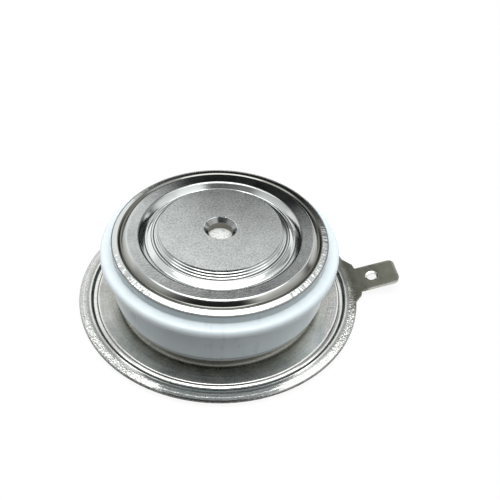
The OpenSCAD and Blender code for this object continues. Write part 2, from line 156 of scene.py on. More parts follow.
def vector(tree, operation, *values):
    """One Vector Math node, and its result."""
    return add(tree, "VectorMath", dict(enumerate(values)), operation=operation).outputs[0]


def scaled(tree, value, factor):
    """A vector or a colour, times a number."""
    return add(tree, "VectorMath", {0: value, "Scale": factor}, operation="SCALE").outputs[0]


# %% Helpers for masks and ramps
def blend(tree, mask, low, high):
    """A number that goes from one value to another with a mask."""
    return add(tree, "Mix", {0: mask, 2: low, 3: high}).outputs[0]


def tint(tree, mask, low, high):
    """A colour that goes from one to another with a mask."""
    return add(tree, "Mix", {0: mask, 6: low, 7: high}, data_type="RGBA").outputs[2]


def ease(tree, value, start, end, low=0.0, high=1.0):
    """A smooth step from low to high, as a value goes from start to end."""
    limits = {"Value": value, "From Min": start, "From Max": end, "To Min": low, "To Max": high}
    return add(tree, "MapRange", limits, interpolation_type="SMOOTHSTEP").outputs[0]


def ramp(tree, value, stops):
    """A grey level for each value: stops are pairs of a value and the level there, in rising order."""
    reach = stops[-1][0]
    made = add(tree, "ValToRGB", {"Fac": math(tree, "DIVIDE", value, reach)})
    points = made.color_ramp.elements
    points.remove(points[1])
    points[0].position = stops[0][0] / reach
    made_points = [points[0]] + [points.new(place / reach) for place, level in stops[1:]]
    for point, (place, level) in zip(made_points, stops):
        point.color = (level, level, level, 1)
    return made.outputs["Color"]


# %% [markdown]
# ## Shared patterns
# Turned and pressed metal has a few marks that come back on every piece: fine lines that run round, ticks
# that run outwards, blasted grain, and straight scratches. They could be painted on an image for each piece.
# Here each is built once as a node group, from the place on the piece, and then used with its own sizes. A
# pattern that runs round uses the direction from the axis, not an angle, so that it has no seam where the
# angle starts again. Two more groups are masks: one for part of the way round, and one for a band between
# two values.

# %% Node groups
def new_group(name, inputs, outputs):
    """An empty node group with named sockets, and its input and output ends."""
    group = bpy.data.node_groups.new(name, "ShaderNodeTree")
    for label, value in inputs.items():
        kind = "NodeSocketVector" if label == "Place" else "NodeSocketFloat"
        socket = group.interface.new_socket(label, in_out="INPUT", socket_type=kind)
        if label != "Place":
            socket.default_value = value
    for label in outputs:
        group.interface.new_socket(label, in_out="OUTPUT", socket_type="NodeSocketFloat")
    start = group.nodes.new("NodeGroupInput").outputs
    end = group.nodes.new("NodeGroupOutput").inputs
    return group, start, end


def use(tree, group, inputs):
    """A group placed in a tree, and its outputs."""
    return add(tree, "Group", inputs, node_tree=group).outputs


def from_axis(tree, place):
    """The place in millimetres, the distance from the Z axis, and the direction from it."""
    place_mm = scaled(tree, place, 1 / MM)
    flat = vector(tree, "MULTIPLY", place_mm, (1.0, 1.0, 0.0))
    radius = add(tree, "VectorMath", {0: flat}, operation="LENGTH").outputs["Value"]
    return place_mm, radius, vector(tree, "NORMALIZE", flat)


# %% Place on a turned piece
turned_place, start, end = new_group("turned_place", {"Place": None}, ["Radius", "Height"])
place_mm, radius, _ = from_axis(turned_place, start["Place"])
turned_place.links.new(radius, end["Radius"])
turned_place.links.new(add(turned_place, "SeparateXYZ", {0: place_mm}).outputs["Z"], end["Height"])
print(turned_place.name, len(turned_place.nodes), "nodes")

# %% Lines that run round
sizes = {"Place": None, "Pitch": 0.3, "Runs": 1.0}
turned_lines, start, end = new_group("turned_lines", sizes, ["Lines"])
place_mm, radius, outward = from_axis(turned_lines, start["Place"])
height = add(turned_lines, "SeparateXYZ", {0: place_mm}).outputs["Z"]
along = math(turned_lines, "DIVIDE", math(turned_lines, "ADD", radius, height), start["Pitch"])
spread = vector(turned_lines, "ADD", scaled(turned_lines, outward, start["Runs"]),
                add(turned_lines, "CombineXYZ", {"Z": along}).outputs[0])
noise = add(turned_lines, "TexNoise", {"Vector": spread, "Scale": 1.0, "Detail": 2.0, "Roughness": 0.6})
turned_lines.links.new(noise.outputs["Fac"], end["Lines"])
print(turned_lines.name, len(turned_lines.nodes), "nodes")

# %% Ticks that run outwards
sizes = {"Place": None, "Count": 200.0, "Length": 1.0}
radial_ticks, start, end = new_group("radial_ticks", sizes, ["Ticks"])
_, radius, outward = from_axis(radial_ticks, start["Place"])
along = math(radial_ticks, "DIVIDE", radius, start["Length"])
wide = scaled(radial_ticks, outward, math(radial_ticks, "DIVIDE", start["Count"], 2 * pi))
spread = vector(radial_ticks, "ADD", wide, add(radial_ticks, "CombineXYZ", {"Z": along}).outputs[0])
noise = add(radial_ticks, "TexNoise", {"Vector": spread, "Scale": 1.0, "Detail": 1.0, "Distortion": 0.3})
radial_ticks.links.new(noise.outputs["Fac"], end["Ticks"])
print(radial_ticks.name, len(radial_ticks.nodes), "nodes")

# %% Blasted grain and soft patches
PATCH_SIZE = 7.0
sizes = {"Place": None, "Size": 0.2}
blasted_grain, start, end = new_group("blasted_grain", sizes, ["Grain", "Patches"])
place_mm = scaled(blasted_grain, start["Place"], 1 / MM)
fine = math(blasted_grain, "DIVIDE", 1.0, start["Size"])
grain = add(blasted_grain, "TexNoise", {"Vector": place_mm, "Scale": fine, "Detail": 2.0, "Roughness": 0.7})
coarse = math(blasted_grain, "DIVIDE", fine, PATCH_SIZE)
patches = add(blasted_grain, "TexNoise", {"Vector": place_mm, "Scale": coarse, "Detail": 3.0})
blasted_grain.links.new(grain.outputs["Fac"], end["Grain"])
blasted_grain.links.new(patches.outputs["Fac"], end["Patches"])
print(blasted_grain.name, len(blasted_grain.nodes), "nodes")

# %% Straight scratches
SCRATCH_LENGTH = 9.0
SCRATCH_LEVELS = (0.66, 0.74)
sizes = {"Place": None, "Angle": 0.5, "Spacing": 1.0}
scratches, start, end = new_group("scratches", sizes, ["Scratch"])
place_mm = scaled(scratches, start["Place"], 1 / MM)
lie = {"Vector": place_mm, "Angle": start["Angle"]}
tilted = add(scratches, "VectorRotate", lie, rotation_type="Z_AXIS")
long_way = vector(scratches, "MULTIPLY", tilted.outputs[0], (1.0 / SCRATCH_LENGTH, 1.0, 1.0))
fine = math(scratches, "DIVIDE", 1.0, start["Spacing"])
noise = add(scratches, "TexNoise", {"Vector": long_way, "Scale": fine, "Detail": 1.0, "Distortion": 0.2})
scratches.links.new(ease(scratches, noise.outputs["Fac"], *SCRATCH_LEVELS), end["Scratch"])
print(scratches.name, len(scratches.nodes), "nodes")

# %% Part of the way round
sizes = {"Place": None, "Angle": 0.0, "Inner": 0.2, "Outer": 0.4}
sector_mask, start, end = new_group("sector", sizes, ["Mask"])
_, _, outward = from_axis(sector_mask, start["Place"])
way_x = math(sector_mask, "COSINE", start["Angle"])
way_y = math(sector_mask, "SINE", start["Angle"])
way = add(sector_mask, "CombineXYZ", {"X": way_x, "Y": way_y}).outputs[0]
facing = add(sector_mask, "VectorMath", {0: outward, 1: way}, operation="DOT_PRODUCT").outputs["Value"]
far = math(sector_mask, "COSINE", start["Outer"])
near = math(sector_mask, "COSINE", start["Inner"])
sector_mask.links.new(ease(sector_mask, facing, far, near), end["Mask"])
print(sector_mask.name, len(sector_mask.nodes), "nodes")


def sector(tree, place, angle, inner, outer):
    """A mask round the axis: 1 within inner degrees of an angle, and 0 beyond outer degrees of it."""
    sizes = {"Place": place, "Angle": radians(angle), "Inner": radians(inner), "Outer": radians(outer)}
    return use(tree, sector_mask, sizes)[0]


# %% A band between two values
sizes = {"Value": 0.0, "Low": 0.0, "High": 1.0, "Soft": 0.1}
band_mask, start, end = new_group("band", sizes, ["Mask"])
below = math(band_mask, "SUBTRACT", start["Low"], start["Soft"])
beyond = math(band_mask, "ADD", start["High"], start["Soft"])
rise = ease(band_mask, start["Value"], below, start["Low"])
fall = ease(band_mask, start["Value"], start["High"], beyond, 1.0, 0.0)
band_mask.links.new(math(band_mask, "MULTIPLY", rise, fall), end["Mask"])


def band(tree, value, low, high, soft):
    """A mask that is 1 between two values and fades over the soft width outside them."""
    return use(tree, band_mask, {"Value": value, "Low": low, "High": high, "Soft": soft})[0]


print("node groups:", sorted(group.name for group in bpy.data.node_groups))

# %% [markdown]
# ## Starting a finish
# A metal finish starts as an empty material with its place on the piece. It ends when the colour, the
# roughness and the height go into the shader. The height is in millimetres: a Bump node whose distance is
# one millimetre then tilts the surface as far as the real marks would.

# %% Start of a finish
def new_finish(name, metallic):
    """A material, its tree, its shader, and the place on the piece with its radius and height."""
    made = bpy.data.materials.new(name)
    made.use_nodes = True
    tree = made.node_tree
    shader = tree.nodes["Principled BSDF"]
    shader.inputs["Metallic"].default_value = metallic
    place = add(tree, "TexCoord").outputs["Object"]
    radius, height = use(tree, turned_place, {"Place": place})
    return made, tree, shader, place, radius, height


# %% End of a finish
def surface(tree, shader, colour, roughness, relief):
    """Puts a colour, a roughness and a relief in millimetres on the shader."""
    tree.links.new(colour, shader.inputs["Base Color"])
    tree.links.new(roughness, shader.inputs["Roughness"])
    bump = add(tree, "Bump", {"Strength": 1.0, "Distance": MM, "Height": relief})
    tree.links.new(bump.outputs[0], shader.inputs["Normal"])


# %% Helpers for patterns
def around_zero(tree, pattern, amount):
    """A pattern from 0 to 1, moved to run from minus half the amount to plus half."""
    return math(tree, "MULTIPLY", math(tree, "SUBTRACT", pattern, 0.5), amount)


def masked(tree, pattern, amount, mask):
    """A pattern around zero, only where a mask is."""
    return math(tree, "MULTIPLY", around_zero(tree, pattern, amount), mask)


def total(tree, *values):
    """The sum of some numbers."""
    made = values[0]
    for value in values[1:]:
        made = math(tree, "ADD", made, value)
    return made


# %% Dressing a node
def dress(finish, *names):
    """Gives a finish to some CAD nodes."""
    for name in names:
        nodes[name].data.materials.clear()
        nodes[name].data.materials.append(finish)
    print(finish.name, "on", ", ".join(names))


# %% [markdown]
# ## The contact poles
# A pole is turned copper with a matt nickel plating. Its contact face is finely blasted, so that it scatters
# the light, while the turned steps beside it and the bevel of the centring hole are still bright from the
# tool. The bevel's colour is painted darker, as painted shade, and the edge of the hole's mouth lighter, as
# a painted highlight. Each zone could have a material of its own. Here masks find the zones inside one
# material, so the solids stay as they are. The two poles face opposite ways, so the masks use the depth
# below the nearer contact face, and the material serves both. The solid has the steps; the relief only leans
# their treads a little.

# %% Zones of a pole
FACE_EDGE = (0.02, 0.05)

pole_finish, tree, shader, place, radius, height = new_finish("pole_nickel", 1.0)
off_middle = math(tree, "ABSOLUTE", math(tree, "SUBTRACT", height, case_mid))
depth = math(tree, "SUBTRACT", case_mid, off_middle)
on_face = ease(tree, depth, *FACE_EDGE, 1.0, 0.0)
below_face = ease(tree, depth, *FACE_EDGE)
within_mouth = ease(tree, radius, mouth_r, mouth_r + 0.05, 1.0, 0.0)
in_hole = math(tree, "MULTIPLY", within_mouth, below_face)
bore_depth = band(tree, depth, mouth_r - hole_r + 0.05, hole_depth - 0.1, 0.05)
on_bore = math(tree, "MULTIPLY", in_hole, bore_depth)
at_bottom = ease(tree, depth, hole_depth - 0.06, hole_depth - 0.02)
on_hole_floor = math(tree, "MULTIPLY", in_hole, at_bottom)
mouth_edge = band(tree, radius, mouth_r - 0.04, mouth_r + 0.06, 0.04)
print("pole zones:", len(tree.nodes), "nodes")

# %% Colour of a pole
NICKEL = (0.955, 1.0, 0.985)
TARNISH = (0.19, 0.175, 0.145)
TARNISH_SHARE = 0.85
HOLE_FLOOR = (0.84, 0.86, 0.84)
FACE_TONE = 0.83
STEP_TONE = 0.76
FIRST_STEP_SHARE = 0.7
BEVEL_PAINTED_SHADE_TONE = 0.32
MOUTH_PAINTED_HIGHLIGHT_TONE = 0.95
PIT_TONE = 0.40

grain, patches = use(tree, blasted_grain, {"Place": place, "Size": 0.26})
step_tone = ease(tree, radius, face_r + 0.15, face_r + 0.5, STEP_TONE * FIRST_STEP_SHARE, STEP_TONE)
tone = blend(tree, on_face, step_tone, FACE_TONE)
speckle = total(tree, around_zero(tree, grain, 1.25), around_zero(tree, patches, 0.20))
tone = total(tree, tone, math(tree, "MULTIPLY", speckle, on_face))
# painted shade: the bevel of the hole is given a darker colour
tone = blend(tree, in_hole, tone, BEVEL_PAINTED_SHADE_TONE)
# painted highlight: the edge of the hole's mouth is given a lighter colour
tone = blend(tree, mouth_edge, tone, MOUTH_PAINTED_HIGHLIGHT_TONE)
colour = scaled(tree, NICKEL, tone)
colour = tint(tree, math(tree, "MULTIPLY", on_bore, TARNISH_SHARE), colour, (*TARNISH, 1))
pitted = blend(tree, ease(tree, grain, 0.30, 0.50), PIT_TONE, 1.0)
colour = tint(tree, on_hole_floor, colour, scaled(tree, HOLE_FLOOR, pitted))
tree.links.new(math(tree, "SUBTRACT", 1.0, on_hole_floor), shader.inputs["Metallic"])
print("pole colour:", len(tree.nodes), "nodes")

# %% Surface of a pole
STEP_ROUGH = 0.12
FACE_ROUGH = 0.31
BEVEL_ROUGH = 0.09
HOLE_ROUGH = 0.4
MOUTH_ROUGH = 0.2
FACE_RELIEF = 0.030
LINE_RELIEF = 0.004
STEP_TILT = 0.36

lines = use(tree, turned_lines, {"Place": place, "Pitch": 0.12, "Runs": 1.5})[0]
rough = blend(tree, on_face, STEP_ROUGH, FACE_ROUGH)
rough = blend(tree, in_hole, rough, BEVEL_ROUGH)
rough = blend(tree, math(tree, "MAXIMUM", on_bore, on_hole_floor), rough, HOLE_ROUGH)
rough = blend(tree, mouth_edge, rough, MOUTH_ROUGH)
rough = total(tree, rough, around_zero(tree, patches, 0.10))
off_face = math(tree, "SUBTRACT", 1.0, on_face)
past_face = math(tree, "MAXIMUM", math(tree, "SUBTRACT", radius, face_r), 0.0)
relief = total(
    tree,
    masked(tree, grain, FACE_RELIEF, on_face),
    masked(tree, lines, LINE_RELIEF, off_face),
    math(tree, "MULTIPLY", past_face, -STEP_TILT),
)
surface(tree, shader, colour, rough, relief)
dress(pole_finish, "anode_pole", "cathode_pole")

# %% [markdown]
# ## The anode diaphragm
# This thin sheet is pressed into a groove and a raised ring, nickel plated and brazed to the ceramic. The
# bends are stretched smooth and shine; the flat ring between them is satin and a little mottled; the brazed
# rim has small ripples across its edge, on two sides. An image could be wrapped over the sheet, but nearly
# everything on it runs round the axis, so one ramp over the radius gives each ring its tone, and a second
# its roughness. The dark bands of that ramp, by the hub, at the inner foot of the raised ring and in the
# valley outside it, are painted shade, and so is the dark cut edge of the rim.

# %% Rings of the diaphragm
groove_r = (hub_r + ring_in_r) / 2
valley_r = ring_out_r + 0.92
rim_in_r = ring_out_r + 1.4

diaphragm_finish, tree, shader, place, radius, _ = new_finish("diaphragm_nickel", 1.0)
# the low levels by the hub, at the inner foot of the raised ring and in the valley are painted shade
tone = ramp(tree, radius, [
    (hub_r, 0.80), (hub_r + 0.27, 0.80), (hub_r + 0.32, 0.09), (hub_r + 0.39, 0.09), (hub_r + 0.44, 0.84),
    (groove_r, 0.84), (ring_in_r - 0.2, 0.58), (ring_in_r - 0.08, 0.30), (ring_in_r + 0.04, 0.30),
    (ring_in_r + 0.15, 0.58), (ring_out_r - 0.3, 0.58), (ring_out_r, 0.66), (ring_out_r + 0.3, 0.44),
    (valley_r - 0.1, 0.20), (rim_in_r - 0.15, 0.20), (rim_in_r, 0.72), (cap_r, 0.70),
])
rough = ramp(tree, radius, [
    (hub_r, 0.10), (groove_r, 0.10), (ring_in_r, 0.12), (ring_in_r + 0.2, 0.13),
    (ring_out_r - 0.2, 0.13), (ring_out_r + 0.1, 0.10), (valley_r, 0.12), (rim_in_r, 0.10), (cap_r, 0.13),
])
print("groove", round(groove_r, 2), "valley", round(valley_r, 2), "rim from", round(rim_in_r, 2))

# %% Marks on the diaphragm
# each place round the rim: its angle, the degrees of the full mask and the degrees to its edge
TICKED_RIGHT = (330, 18, 34)
TICKED_LEFT = (203, 8, 24)
TICKED_REST = 0.12

grain, patches = use(tree, blasted_grain, {"Place": place, "Size": 0.3})
lines = use(tree, turned_lines, {"Place": place, "Pitch": 0.25, "Runs": 2.0})[0]
ticks = use(tree, radial_ticks, {"Place": place, "Count": 230.0, "Length": 1.3})[0]
on_ring = band(tree, radius, ring_in_r + 0.1, ring_out_r - 0.2, 0.2)
at_edge = ease(tree, radius, cap_r - 0.95, cap_r - 0.5)
in_groups = ease(tree, patches, 0.34, 0.52)
ticked = math(tree, "MAXIMUM", sector(tree, place, *TICKED_RIGHT), sector(tree, place, *TICKED_LEFT))
ticked = blend(tree, ticked, TICKED_REST, 1.0)
ticked = math(tree, "MULTIPLY", math(tree, "MULTIPLY", at_edge, in_groups), ticked)
print("diaphragm marks:", len(tree.nodes), "nodes")

# %% Surface of the diaphragm
VALLEY = (0.99, 1.0, 0.93)
CUT_EDGE_PAINTED_SHADE_TONE = 0.12
CONE_RISE = 0.22

tone = total(tree, tone, masked(tree, patches, 0.44, on_ring), masked(tree, grain, 0.26, on_ring))
# painted shade: the cut edge of the rim is dark
on_cut_edge = ease(tree, radius, cap_r - 0.07, cap_r - 0.04)
tone = blend(tree, on_cut_edge, tone, CUT_EDGE_PAINTED_SHADE_TONE)
in_valley = band(tree, radius, ring_out_r + 0.3, rim_in_r - 0.1, 0.15)
sheet = tint(tree, in_valley, (*NICKEL, 1), (*VALLEY, 1))
rough = total(tree, rough, masked(tree, patches, 0.16, on_ring))
relief = total(
    tree,
    ease(tree, radius, hub_r + 0.3, groove_r, 0.0, CONE_RISE),
    masked(tree, grain, 0.014, on_ring),
    around_zero(tree, lines, 0.003),
    masked(tree, ticks, 0.26, ticked),
)
surface(tree, shader, scaled(tree, sheet, tone), rough, relief)
dress(diaphragm_finish, "anode_diaphragm")

# %% [markdown]
# ## The flange and its tab
# The flange is rolled sheet with a seam pressed round it, where the halves of the case are welded. Handling
# leaves fine marks that run round the flat, ticks beside the seam and ripples on the outer rim. The front of
# the flat is painted darker, as painted shade, and its right side lighter, as a painted reflection. The tab
# is
# duller: it is where the sheet was gripped in the plating bath, and towards its root it is painted darker,
# as painted shade. Its edges are worn, and lighter there as a painted highlight, with a painted highlight
# round its hole. The tab could have a material of its own, but there is no hard line where it starts, so one
# material fades from one to the other. The rings come from ramps over the radius again, and marks on one
# side only are held there by sectors; the dark rings of the flat next to the ceramic, in the seam and on the
# cut edge are painted shade. The solid has the seam; the relief adds its finest steps and bends the rim a
# little in two places.

# %% Measures of the flange
TAB_ROOT = 3

seam_in_r = flange_r - 2.85
seam_out_r = flange_r - 1.1
mounts = {mount["name"]: mount for mount in frame["record"]["mounts"]}
blade_hole = Vector(mounts["blade_hole"]["pos_m"])
blade_hole_r = mounts["blade_hole"]["dims"]["r_mm"]
blade_x = (flange_r + TAB_ROOT) * MM
tab_half = max(v.co.y for v in nodes["housing_flange"].data.vertices if v.co.x > blade_x) / MM
print("seam", round(seam_in_r, 2), round(seam_out_r, 2), "half tab", round(tab_half, 2))

# %% Rings of the flange
flange_finish, tree, shader, place, radius, _ = new_finish("flange_nickel", 1.0)
# the low levels next to the ceramic, in the seam's grooves and on the cut edge are painted shade
tone = ramp(tree, radius, [
    (sleeve_r + 0.05, 0.36), (sleeve_r + 0.6, 0.30), (sleeve_r + 1.0, 0.64), (seam_in_r - 0.2, 0.68),
    (seam_in_r, 0.84), (seam_in_r + 0.10, 0.80), (seam_in_r + 0.12, 0.15), (seam_in_r + 0.22, 0.15),
    (seam_in_r + 0.27, 0.84), (seam_in_r + 0.70, 0.80), (seam_in_r + 0.78, 0.15), (seam_in_r + 1.02, 0.15),
    (seam_in_r + 1.08, 0.80), (seam_in_r + 1.30, 0.80), (seam_in_r + 1.42, 0.40), (seam_out_r - 0.10, 0.40),
    (seam_out_r + 0.10, 0.76), (flange_r - 0.13, 0.78), (flange_r - 0.06, 0.13), (flange_r + 0.1, 0.13),
    (tab_tip_x, 0.60),
])
rough = ramp(tree, radius, [
    (sleeve_r, 0.50), (sleeve_r + 0.9, 0.34), (seam_in_r - 0.2, 0.31), (seam_in_r, 0.10),
    (seam_out_r - 0.3, 0.10), (seam_out_r, 0.22), (tab_tip_x, 0.25),
])
on_flat = band(tree, radius, sleeve_r + 0.6, seam_in_r - 0.1, 0.2)
on_rim = band(tree, radius, seam_out_r + 0.05, flange_r - 0.05, 0.15)
by_seam = band(tree, radius, seam_in_r - 1.7, seam_in_r - 0.05, 0.15)
print("flange rings:", len(tree.nodes), "nodes")

# %% Marks on the flange
RIPPLED_RIGHT = (338, 10, 26)
RIPPLED_LEFT = (212, 12, 30)
LEFT_SHARE = 0.65
RIPPLED_REST = 0.15
COMBED = (329, 8, 20)
COMBED_REST = 0.08

place_mm = scaled(tree, place, 1 / MM)
grain, patches = use(tree, blasted_grain, {"Place": place, "Size": 0.28})
lines = use(tree, turned_lines, {"Place": place, "Pitch": 0.2, "Runs": 2.0})[0]
ticks = use(tree, radial_ticks, {"Place": place, "Count": 420.0, "Length": 2.4})[0]
wavy = {"Vector": place_mm, "Scale": 2.3, "Detail": 2.0, "Distortion": 1.2}
ripples = add(tree, "TexNoise", wavy).outputs["Fac"]
rippled_right = sector(tree, place, *RIPPLED_RIGHT)
rippled_left = math(tree, "MULTIPLY", sector(tree, place, *RIPPLED_LEFT), LEFT_SHARE)
rippled = blend(tree, math(tree, "MAXIMUM", rippled_right, rippled_left), RIPPLED_REST, 1.0)
combed = blend(tree, sector(tree, place, *COMBED), COMBED_REST, 1.0)
combed = math(tree, "MULTIPLY", by_seam, combed)
print("flange marks:", len(tree.nodes), "nodes")

# %% Colour of the flange
SHEET = (0.985, 1.0, 0.965)
SHEET_SHADE = (1.0, 1.0, 0.91)
FRONT_PAINTED_SHADE = (262, 8, 42)
FRONT_PAINTED_SHADE_TONE = 0.60
RIGHT_PAINTED_REFLECTION = (332, 8, 34)
RIGHT_PAINTED_REFLECTION_TONE = 1.55

# painted shade darkens the front of the flat; a painted reflection lightens its right side
front_painted_shade = math(tree, "MULTIPLY", on_flat, sector(tree, place, *FRONT_PAINTED_SHADE))
tone = math(tree, "MULTIPLY", tone, blend(tree, front_painted_shade, 1.0, FRONT_PAINTED_SHADE_TONE))
right_painted_reflection = math(tree, "MULTIPLY", on_flat, sector(tree, place, *RIGHT_PAINTED_REFLECTION))
tone = math(tree, "MULTIPLY", tone, blend(tree, right_painted_reflection, 1.0, RIGHT_PAINTED_REFLECTION_TONE))
tone = total(tree, tone, masked(tree, patches, 0.34, on_flat), masked(tree, lines, 0.34, on_flat))
tone = total(tree, tone, around_zero(tree, grain, 0.48), masked(tree, ripples, 0.40, on_rim))
inner = ease(tree, radius, sleeve_r + 1.0, seam_in_r - 0.3, 1.0, 0.0)
sheet = tint(tree, inner, (*SHEET, 1), (*SHEET_SHADE, 1))
colour = scaled(tree, sheet, tone)
print("flange colour:", len(tree.nodes), "nodes")

# %% The dull tab
OLIVE = (0.204, 0.208, 0.170)
TAB_ROUGH = 0.42

across = add(tree, "SeparateXYZ", {0: place_mm}).outputs
tab_x = across["X"]
uneven = total(tree, tab_x, around_zero(tree, patches, 1.6))
on_tab = ease(tree, uneven, flange_r - 2.4, flange_r - 0.2)
# painted shade: the tab is darker towards its root at the flange
tab_root_painted_shade = ease(tree, tab_x, flange_r - 1.0, flange_r + 2.5, 0.62, 1.0)
scratch = use(tree, scratches, {"Place": place, "Angle": 1.1, "Spacing": 0.55})[0]
scratched = math(tree, "MULTIPLY", scratch, 0.5)
dull = total(tree, 1.0, around_zero(tree, patches, 0.8), around_zero(tree, grain, 0.6), scratched)
olive = scaled(tree, OLIVE, math(tree, "MULTIPLY", dull, tab_root_painted_shade))
colour = tint(tree, on_tab, colour, olive)
rough = blend(tree, on_tab, rough, TAB_ROUGH)
print("tab:", len(tree.nodes), "nodes")

# %% Worn edges of the tab, with painted highlights
WORN_AND_HIGHLIT = (0.50, 0.50, 0.46)
WORN_ROUGH = 0.24
HOLE_PAINTED_HIGHLIGHT = (0.74, 0.72, 0.66)
BRIGHT_ROUGH = 0.15

tab_side = ease(tree, math(tree, "ABSOLUTE", across["Y"]), tab_half - 0.30, tab_half - 0.10)
tab_tip = ease(tree, tab_x, tab_tip_x - 0.40, tab_tip_x - 0.15)
tab_edge = math(tree, "MAXIMUM", tab_side, tab_tip)
# the worn edges are also lighter as a painted highlight
worn_and_highlit_edge = math(tree, "MULTIPLY", tab_edge, ease(tree, patches, 0.36, 0.56))
worn_and_highlit_edge = math(tree, "MULTIPLY", worn_and_highlit_edge, ease(tree, tab_x, flange_r + 1.6, flange_r + 2.4))
colour = tint(tree, worn_and_highlit_edge, colour, (*WORN_AND_HIGHLIT, 1))
rough = blend(tree, worn_and_highlit_edge, rough, WORN_ROUGH)
# painted highlight: a lighter, smoother ring round the blade hole
from_hole = add(tree, "VectorMath", {0: place, 1: blade_hole}, operation="DISTANCE").outputs["Value"]
highlit_hole_ring = ease(tree, math(tree, "DIVIDE", from_hole, MM), blade_hole_r + 0.34, blade_hole_r + 0.30)
colour = tint(tree, highlit_hole_ring, colour, (*HOLE_PAINTED_HIGHLIGHT, 1))
rough = blend(tree, highlit_hole_ring, rough, BRIGHT_ROUGH)
print("tab edges:", len(tree.nodes), "nodes")

# %% Surface of the flange
SMOOTHER = -0.06
SEAM_STEPS = 0.135
RIPPLE_RELIEF = 0.21
RIM_WARP = 0.17
WARPED_RIGHT = (301, 8, 20)
WARPED_LEFT = (232, 2, 9)

smoother = math(tree, "MULTIPLY", total(tree, combed, rippled_right), SMOOTHER)
rough = total(tree, rough, masked(tree, patches, 0.14, on_flat), smoother)
seam_steps = ramp(tree, radius, [
    (seam_in_r + 0.25, 1.0), (seam_in_r + 0.49, 0.4), (seam_in_r + 1.01, 0.4), (seam_in_r + 1.13, 0.15),
    (flange_r - 0.7, 0.15), (flange_r - 0.58, 0.0), (tab_tip_x, 0.0),
])
warped = math(tree, "MAXIMUM", sector(tree, place, *WARPED_RIGHT), sector(tree, place, *WARPED_LEFT))
past_seam = math(tree, "MAXIMUM", math(tree, "SUBTRACT", radius, seam_out_r), 0.0)
relief = total(
    tree,
    math(tree, "MULTIPLY", seam_steps, SEAM_STEPS),
    math(tree, "MULTIPLY", math(tree, "MULTIPLY", past_seam, warped), -RIM_WARP),
    around_zero(tree, grain, 0.006),
    masked(tree, lines, 0.006, on_flat),
    masked(tree, ticks, 0.022, combed),
    masked(tree, ripples, RIPPLE_RELIEF, math(tree, "MULTIPLY", on_rim, rippled)),
)
surface(tree, shader, colour, rough, relief)
dress(flange_finish, "housing_flange")

# %% [markdown]
# ## The lid
# The lid closes the other side. It is the same rolled and plated sheet and could share the flange's finish,
# but its rings lie elsewhere, so it has the same patterns in a finish of its own.

# %% Lid plating
LID_TONE = 0.66

lid_finish, tree, shader, place, radius, _ = new_finish("lid_nickel", 1.0)
grain, patches = use(tree, blasted_grain, {"Place": place, "Size": 0.3})
lines = use(tree, turned_lines, {"Place": place, "Pitch": 0.22, "Runs": 2.0})[0]
tone = total(tree, LID_TONE, around_zero(tree, patches, 0.30), around_zero(tree, lines, 0.22))
rough = ramp(tree, radius, [
    (hub_r, 0.16), (groove_r, 0.14), (ring_in_r, 0.20), (ring_in_r + 0.3, 0.29), (flange_r, 0.29),
])
rough = total(tree, rough, around_zero(tree, patches, 0.12))
relief = total(tree, around_zero(tree, grain, 0.006), around_zero(tree, lines, 0.006))
surface(tree, shader, scaled(tree, SHEET, tone), rough, relief)
dress(lid_finish, "cathode_lid")

# %% [markdown]
# ## The glazed ceramic
# The ring is alumina with a thin, cool white glaze. A plain white shader would look like plastic, because a
# glaze is never quite even: it is wavy over a millimetre or two, which bends the reflections a little, and
# it has soft clouds of tone. A clear coat gives the gloss. The neck above the rib is in the shade of the
# metal rim, and that shade is painted: its glaze is a little darker.

# %% Glaze
GLAZE = (0.770, 0.858, 0.893)
NECK_PAINTED_SHADE_TONE = 0.62
GLAZE_ROUGH = 0.30
rib_top_z = max(z for r, z in profile("ceramic_ring") if r > cap_r + 0.5)

glaze_finish, tree, shader, place, radius, height = new_finish("glaze", 0.0)
shader.inputs["IOR"].default_value = 1.52
shader.inputs["Coat Weight"].default_value = 0.3
shader.inputs["Coat Roughness"].default_value = 0.12
patches = use(tree, blasted_grain, {"Place": place, "Size": 0.35})["Patches"]
streaks = use(tree, radial_ticks, {"Place": place, "Count": 90.0, "Length": 40.0})[0]
above_rib = ease(tree, height, rib_top_z - 0.05, rib_top_z + 0.15)
within_cap = ease(tree, radius, cap_r, cap_r + 0.2, 1.0, 0.0)
on_neck = math(tree, "MULTIPLY", above_rib, within_cap)
# painted shade: the neck under the metal rim is darker
tone = blend(tree, on_neck, 1.0, NECK_PAINTED_SHADE_TONE)
tone = total(tree, tone, around_zero(tree, patches, 0.05), around_zero(tree, streaks, 0.07))
rough = total(tree, GLAZE_ROUGH, around_zero(tree, patches, 0.16), around_zero(tree, streaks, 0.12))
relief = total(tree, around_zero(tree, patches, 0.010), around_zero(tree, streaks, 0.003))
surface(tree, shader, scaled(tree, GLAZE, tone), rough, relief)
dress(glaze_finish, "ceramic_ring")

# %% [markdown]
# ## Inside and at the gate
# The pieces inside the case show only when it is taken apart, and each still has its own finish: lapped
# molybdenum, polished silicon, a soft silicone bead, turned plastic and gold plate. Each could have a tree
# of its own. They differ only in colour, gloss and the size of their marks, so they share one recipe.

# %% Small pieces
def simple_finish(name, colour, metallic, roughness, marks, size, amount):
    """A finish with clouds, grain and lines of one size, in its own colour."""
    made, tree, shader, place, _, _ = new_finish(name, metallic)
    grain, patches = use(tree, blasted_grain, {"Place": place, "Size": size})
    lines = use(tree, turned_lines, {"Place": place, "Pitch": size, "Runs": 2.0})[0]
    tone = total(tree, 1.0, around_zero(tree, patches, amount), around_zero(tree, lines, amount * marks))
    rough = total(tree, roughness, around_zero(tree, grain, 0.12), around_zero(tree, patches, 0.10))
    relief = total(tree, around_zero(tree, grain, 0.006), around_zero(tree, lines, 0.008 * marks))
    surface(tree, shader, scaled(tree, colour, tone), rough, relief)
    return made


